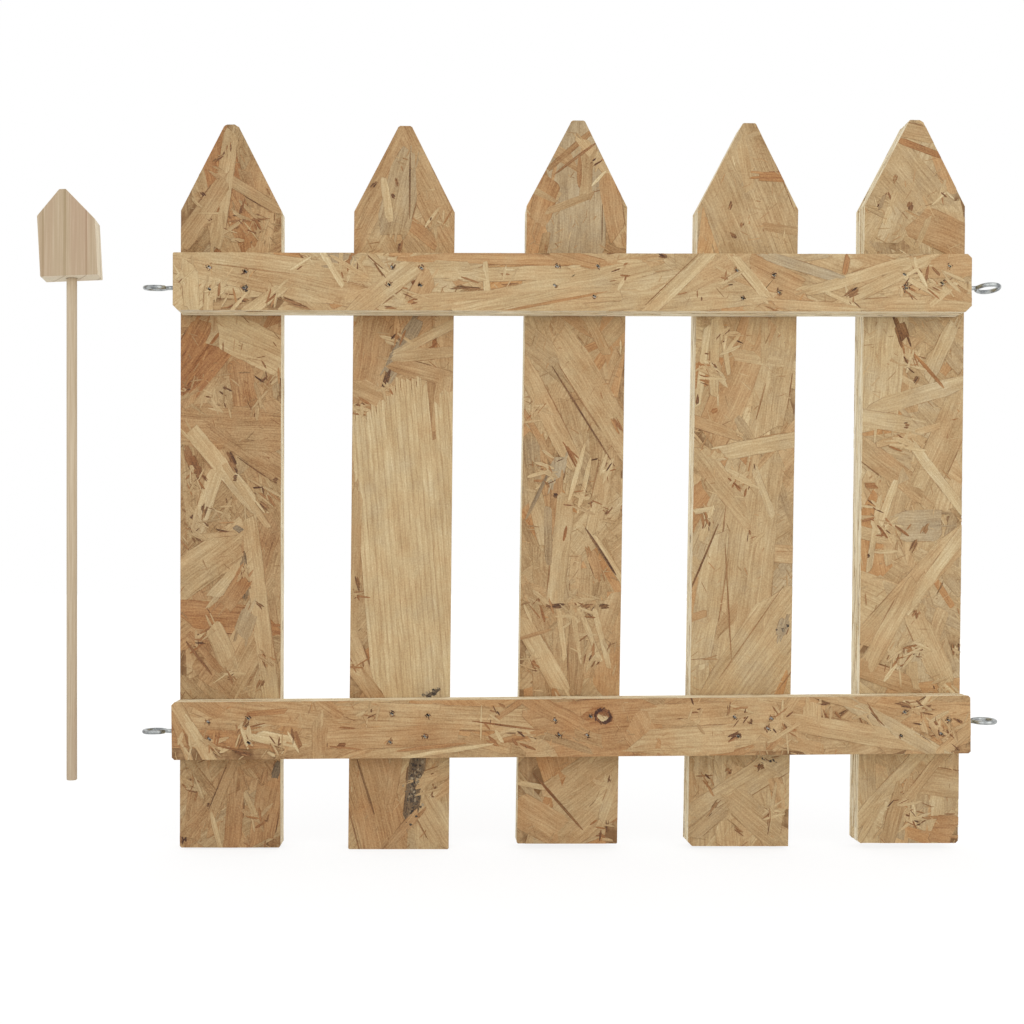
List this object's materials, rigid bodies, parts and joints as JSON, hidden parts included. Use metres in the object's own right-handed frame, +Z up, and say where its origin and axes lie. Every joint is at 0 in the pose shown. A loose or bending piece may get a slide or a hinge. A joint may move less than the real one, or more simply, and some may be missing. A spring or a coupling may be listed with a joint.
{
  "type": "picket gate panel",
  "caption": "Small picket gate panel of nailed strand board with screw eyes in its rail ends, and a wooden drop pin that hinges or latches it to its neighbour.",
  "frame": {"origin": "middle of the middle picket's foot, halfway through its thickness", "axes": "+X to the right along the rails as seen from the nailed front, +Y to the back, +Z up along the pickets"},
  "size_m": [0.4858, 0.0306, 0.3731],
  "materials": {
    "strand_board": "raw sawn oriented strand board",
    "pin_wood": "raw planed softwood",
    "zinc_plated_steel": "bright zinc plate",
    "nail_steel": "plain steel"
  },
  "bodies": {
    "panel": {"picket_1": "strand_board", "picket_2": "strand_board", "picket_3": "strand_board", "picket_4": "strand_board", "picket_5": "strand_board", "rail_upper": "strand_board", "rail_lower": "strand_board", "eye_upper_left": "zinc_plated_steel", "eye_lower_left": "zinc_plated_steel", "eye_upper_right": "zinc_plated_steel", "eye_lower_right": "zinc_plated_steel", "nail_upper_1_a": "nail_steel", "nail_upper_1_b": "nail_steel", "nail_upper_1_c": "nail_steel", "nail_upper_1_d": "nail_steel", "nail_upper_2_a": "nail_steel", "nail_upper_2_b": "nail_steel", "nail_upper_2_c": "nail_steel", "nail_upper_2_d": "nail_steel", "nail_upper_3_a": "nail_steel", "nail_upper_3_b": "nail_steel", "nail_upper_3_c": "nail_steel", "nail_upper_3_d": "nail_steel", "nail_upper_4_a": "nail_steel", "nail_upper_4_b": "nail_steel", "nail_upper_4_c": "nail_steel", "nail_upper_4_d": "nail_steel", "nail_upper_5_a": "nail_steel", "nail_upper_5_b": "nail_steel", "nail_upper_5_c": "nail_steel", "nail_upper_5_d": "nail_steel", "nail_lower_1_a": "nail_steel", "nail_lower_1_b": "nail_steel", "nail_lower_1_c": "nail_steel", "nail_lower_1_d": "nail_steel", "nail_lower_2_a": "nail_steel", "nail_lower_2_b": "nail_steel", "nail_lower_2_c": "nail_steel", "nail_lower_2_d": "nail_steel", "nail_lower_3_a": "nail_steel", "nail_lower_3_b": "nail_steel", "nail_lower_3_c": "nail_steel", "nail_lower_3_d": "nail_steel", "nail_lower_4_a": "nail_steel", "nail_lower_4_b": "nail_steel", "nail_lower_4_c": "nail_steel", "nail_lower_4_d": "nail_steel", "nail_lower_5_a": "nail_steel", "nail_lower_5_b": "nail_steel", "nail_lower_5_c": "nail_steel", "nail_lower_5_d": "nail_steel"},
    "pin": {"pin_dowel": "pin_wood", "pin_head": "pin_wood"}
  },
  "joints": [
    {"name": "pin_lift", "type": "slide", "parent": "panel", "child": "pin", "axis": [0, 0, 1], "range_m": [0, 0.255]}
  ]
}
